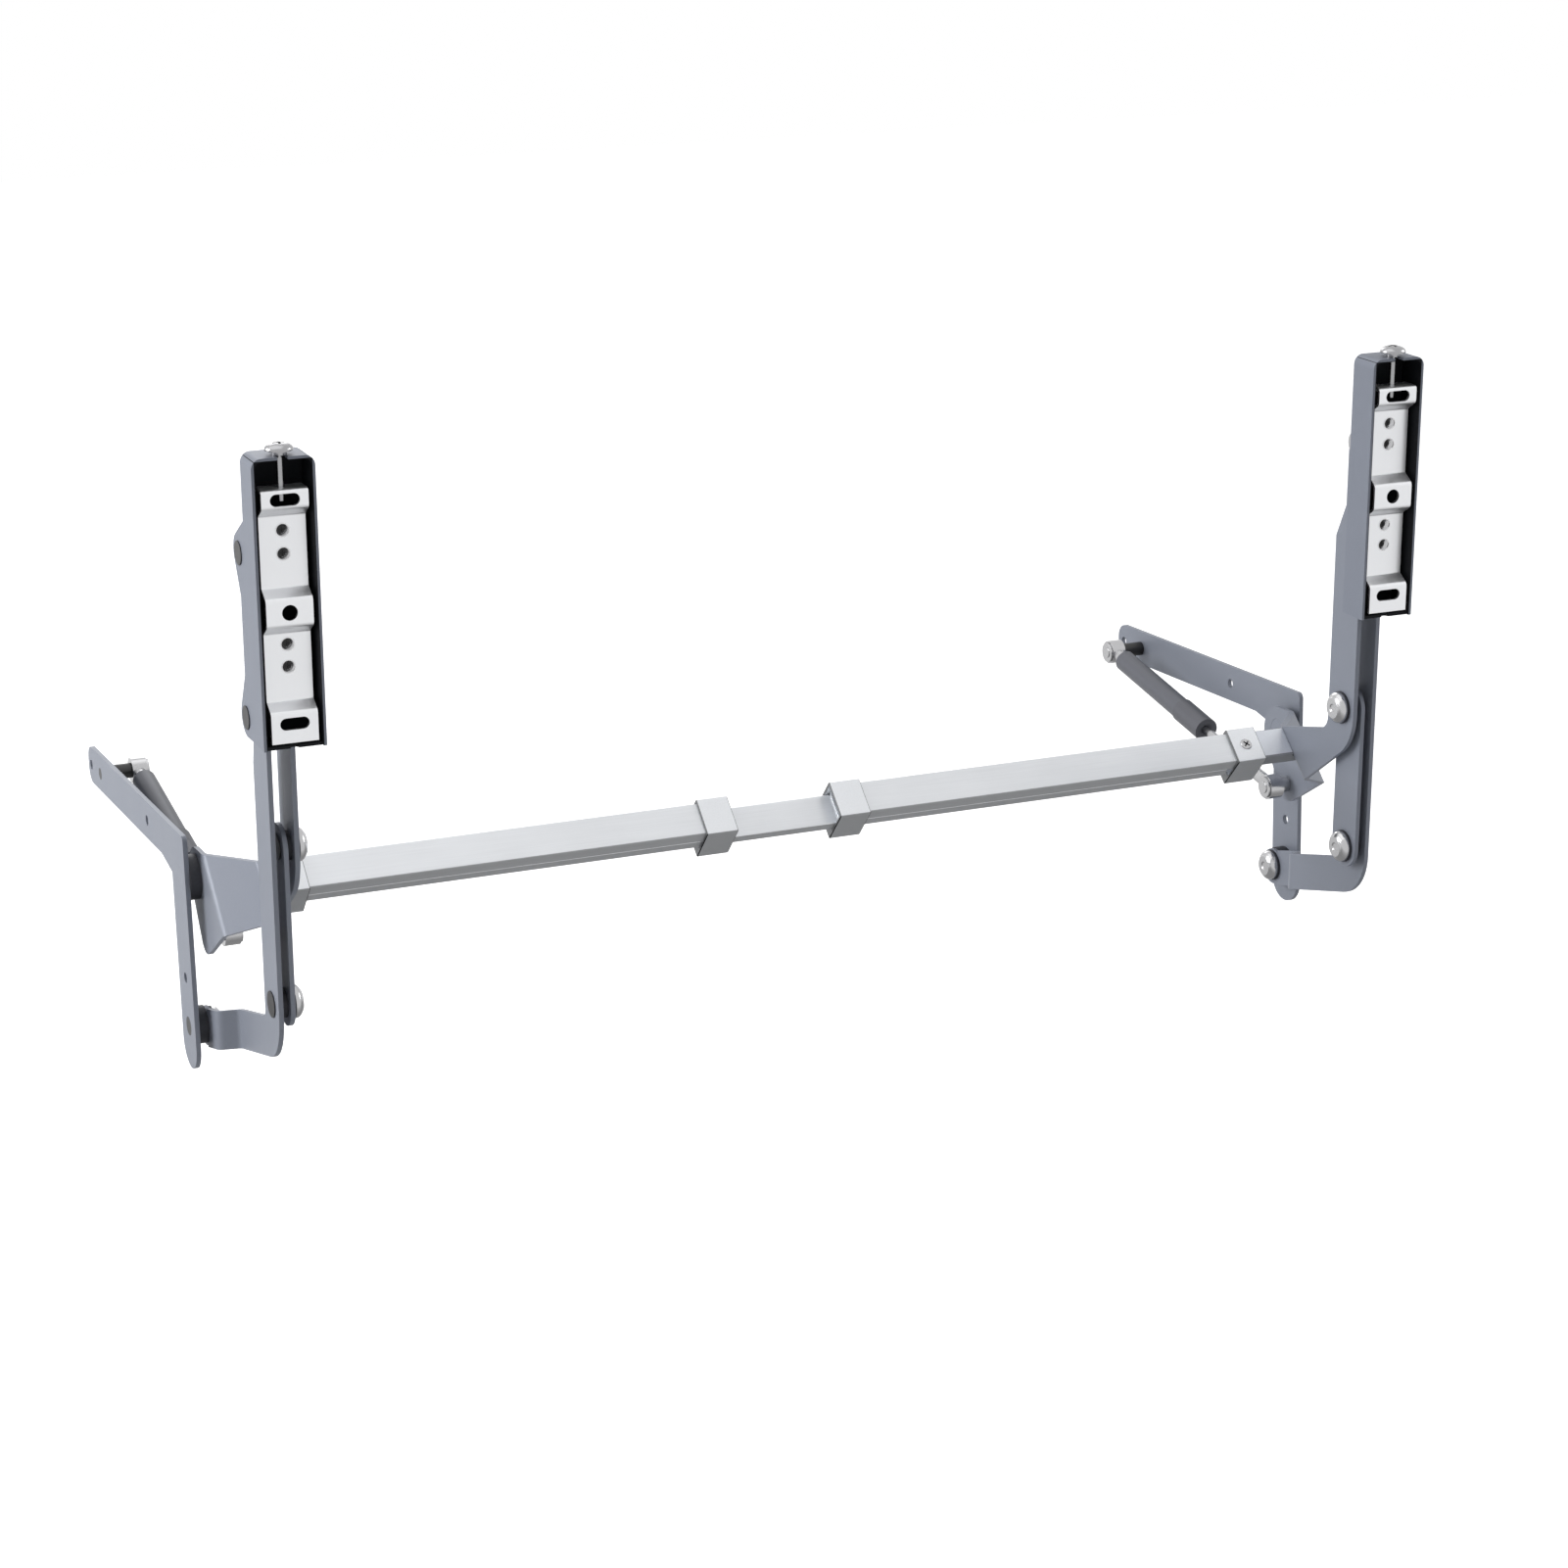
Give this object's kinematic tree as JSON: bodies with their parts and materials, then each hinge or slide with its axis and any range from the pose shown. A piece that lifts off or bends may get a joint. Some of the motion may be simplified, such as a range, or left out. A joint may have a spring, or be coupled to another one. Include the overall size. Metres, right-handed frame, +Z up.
{
  "type": "lift-up cabinet hinge",
  "caption": "Mirrored parallel lift-up arms on cabinet wall plates, with gas springs, door brackets and a telescopic bar that joins them.",
  "frame": {"origin": "centre of the screw hole in the left wall plate's upright strip, on the mounting face", "axes": "+X to the right along the bar, +Y back into the cabinet, +Z up"},
  "size_m": [0.7824, 0.4066, 0.4189],
  "materials": {
    "painted_steel": "satin blue-grey metallic",
    "nickel": "nickel plated",
    "dark_steel": "dark oxide",
    "zinc_plate": "bright zinc plated",
    "zinc_cast": "plated zinc casting",
    "bar_aluminium": "satin anodised",
    "tube_paint": "satin grey",
    "sleeve_paint": "satin dark grey"
  },
  "bodies": {
    "left_wall": {"left_wall_plate": "painted_steel", "left_main_pivot_pin": "painted_steel", "left_arm_pivot_rivet": "nickel", "left_wall_washers": "dark_steel", "left_upper_stud": "nickel"},
    "left_lever": {"left_upper_lever": "painted_steel", "left_knee_rivet": "nickel", "left_knee_washers": "dark_steel", "left_bar": "bar_aluminium", "left_bar_collars": "zinc_cast", "left_bar_plug": "zinc_cast", "left_clamp_screw": "nickel", "centre_bar": "bar_aluminium"},
    "left_lower_arm": {"left_lower_arm": "painted_steel"},
    "left_link": {"left_link": "painted_steel", "left_link_rivet": "nickel", "left_link_washers": "dark_steel"},
    "left_bracket": {"left_door_bracket": "painted_steel", "left_bracket_pins": "nickel", "left_bracket_spacers": "dark_steel"},
    "left_adjuster_screw": {"left_adjuster_screw": "nickel"},
    "left_adjuster": {"left_adjuster_plate": "zinc_plate", "left_tilt_screws": "nickel"},
    "left_spring_tube": {"left_spring_tube": "tube_paint", "left_spring_tube_eye": "nickel", "left_spring_sleeve": "sleeve_paint"},
    "left_spring_rod": {"left_spring_rod": "nickel", "left_spring_piston": "sleeve_paint", "left_spring_rod_eye": "nickel", "left_lower_stud": "nickel"},
    "right_wall": {"right_wall_plate": "painted_steel", "right_main_pivot_pin": "painted_steel", "right_arm_pivot_rivet": "nickel", "right_wall_washers": "dark_steel", "right_upper_stud": "nickel"},
    "right_lever": {"right_upper_lever": "painted_steel", "right_knee_rivet": "nickel", "right_knee_washers": "dark_steel", "right_bar": "bar_aluminium", "right_bar_collars": "zinc_cast", "right_bar_plug": "zinc_cast", "right_clamp_screw": "nickel"},
    "right_lower_arm": {"right_lower_arm": "painted_steel"},
    "right_link": {"right_link": "painted_steel", "right_link_rivet": "nickel", "right_link_washers": "dark_steel"},
    "right_bracket": {"right_door_bracket": "painted_steel", "right_bracket_pins": "nickel", "right_bracket_spacers": "dark_steel"},
    "right_adjuster_screw": {"right_adjuster_screw": "nickel"},
    "right_adjuster": {"right_adjuster_plate": "zinc_plate", "right_tilt_screws": "nickel"},
    "right_spring_tube": {"right_spring_tube": "tube_paint", "right_spring_tube_eye": "nickel", "right_spring_sleeve": "sleeve_paint"},
    "right_spring_rod": {"right_spring_rod": "nickel", "right_spring_piston": "sleeve_paint", "right_spring_rod_eye": "nickel", "right_lower_stud": "nickel"}
  },
  "joints": [
    {"name": "left_lift", "type": "hinge", "parent": "left_wall", "child": "left_lever", "pos_m": [0.0115, -0.00153, 0.06485], "axis": [1, 0, 0], "range_deg": [0, 150]},
    {"name": "left_lower_arm_swing", "type": "hinge", "parent": "left_wall", "child": "left_lower_arm", "pos_m": [0.0115, -0.00153, -0.03115], "axis": [1, 0, 0], "range_deg": [0, 150]},
    {"name": "left_link_swing", "type": "hinge", "parent": "left_lever", "child": "left_link", "pos_m": [0.031, -0.12103, 0.11785], "axis": [1, 0, 0], "range_deg": [-150, 0]},
    {"name": "left_bracket_swing", "type": "hinge", "parent": "left_lever", "child": "left_bracket", "pos_m": [0.033, -0.12403, 0.29385], "axis": [1, 0, 0], "range_deg": [-150, 0]},
    {"name": "left_height_slide", "type": "slide", "parent": "left_bracket", "child": "left_adjuster", "axis": [0, 0, 1], "range_m": [-0.0035, 0.0035]},
    {"name": "left_height_screw", "type": "hinge", "parent": "left_bracket", "child": "left_adjuster_screw", "pos_m": [0.03295, -0.15183, 0.35385], "axis": [0, 0, 1], "range_deg": [-1800, 1800]},
    {"name": "left_spring_swing", "type": "hinge", "parent": "left_wall", "child": "left_spring_tube", "pos_m": [0.0252, 0.21199, 0.07043], "axis": [1, 0, 0], "range_deg": [-14.45, 0]},
    {"name": "left_spring_stroke", "type": "slide", "parent": "left_spring_tube", "child": "left_spring_rod", "axis": [0, -0.9861, -0.1664], "range_m": [-0.04717, 0]},
    {"name": "width_adjust", "type": "slide", "parent": "left_wall", "child": "right_wall", "axis": [1, 0, 0], "range_m": [-0.05, 0.1]},
    {"name": "right_lift", "type": "hinge", "parent": "right_wall", "child": "right_lever", "pos_m": [0.7709, -0.00153, 0.06485], "axis": [1, 0, 0], "range_deg": [0, 150]},
    {"name": "right_lower_arm_swing", "type": "hinge", "parent": "right_wall", "child": "right_lower_arm", "pos_m": [0.7709, -0.00153, -0.03115], "axis": [1, 0, 0], "range_deg": [0, 150]},
    {"name": "right_link_swing", "type": "hinge", "parent": "right_lever", "child": "right_link", "pos_m": [0.7514, -0.12103, 0.11785], "axis": [1, 0, 0], "range_deg": [-150, 0]},
    {"name": "right_bracket_swing", "type": "hinge", "parent": "right_lever", "child": "right_bracket", "pos_m": [0.7494, -0.12403, 0.29385], "axis": [1, 0, 0], "range_deg": [-150, 0]},
    {"name": "right_height_slide", "type": "slide", "parent": "right_bracket", "child": "right_adjuster", "axis": [0, 0, 1], "range_m": [-0.0035, 0.0035]},
    {"name": "right_height_screw", "type": "hinge", "parent": "right_bracket", "child": "right_adjuster_screw", "pos_m": [0.74945, -0.15183, 0.35385], "axis": [0, 0, 1], "range_deg": [-1800, 1800]},
    {"name": "right_spring_swing", "type": "hinge", "parent": "right_wall", "child": "right_spring_tube", "pos_m": [0.7572, 0.21199, 0.07043], "axis": [1, 0, 0], "range_deg": [-14.45, 0]},
    {"name": "right_spring_stroke", "type": "slide", "parent": "right_spring_tube", "child": "right_spring_rod", "axis": [0, -0.9861, -0.1664], "range_m": [-0.04717, 0]}
  ],
  "couplings": [
    {"joint": "left_lower_arm_swing", "follows": "left_lift", "ratio": 1},
    {"joint": "left_link_swing", "follows": "left_lift", "ratio": -1},
    {"joint": "left_bracket_swing", "follows": "left_lift", "ratio": -1},
    {"joint": "left_height_screw", "follows": "left_height_slide", "rad_per_m": 8976},
    {"joint": "left_spring_swing", "follows": "left_lift", "ratio": -0.095976},
    {"joint": "left_spring_stroke", "follows": "left_lift", "m_per_rad": -0.01798},
    {"joint": "right_lift", "follows": "left_lift", "ratio": 1},
    {"joint": "right_lower_arm_swing", "follows": "left_lift", "ratio": 1},
    {"joint": "right_link_swing", "follows": "left_lift", "ratio": -1},
    {"joint": "right_bracket_swing", "follows": "left_lift", "ratio": -1},
    {"joint": "right_height_screw", "follows": "right_height_slide", "rad_per_m": 8976},
    {"joint": "right_spring_swing", "follows": "left_lift", "ratio": -0.095976},
    {"joint": "right_spring_stroke", "follows": "left_lift", "m_per_rad": -0.01798}
  ]
}
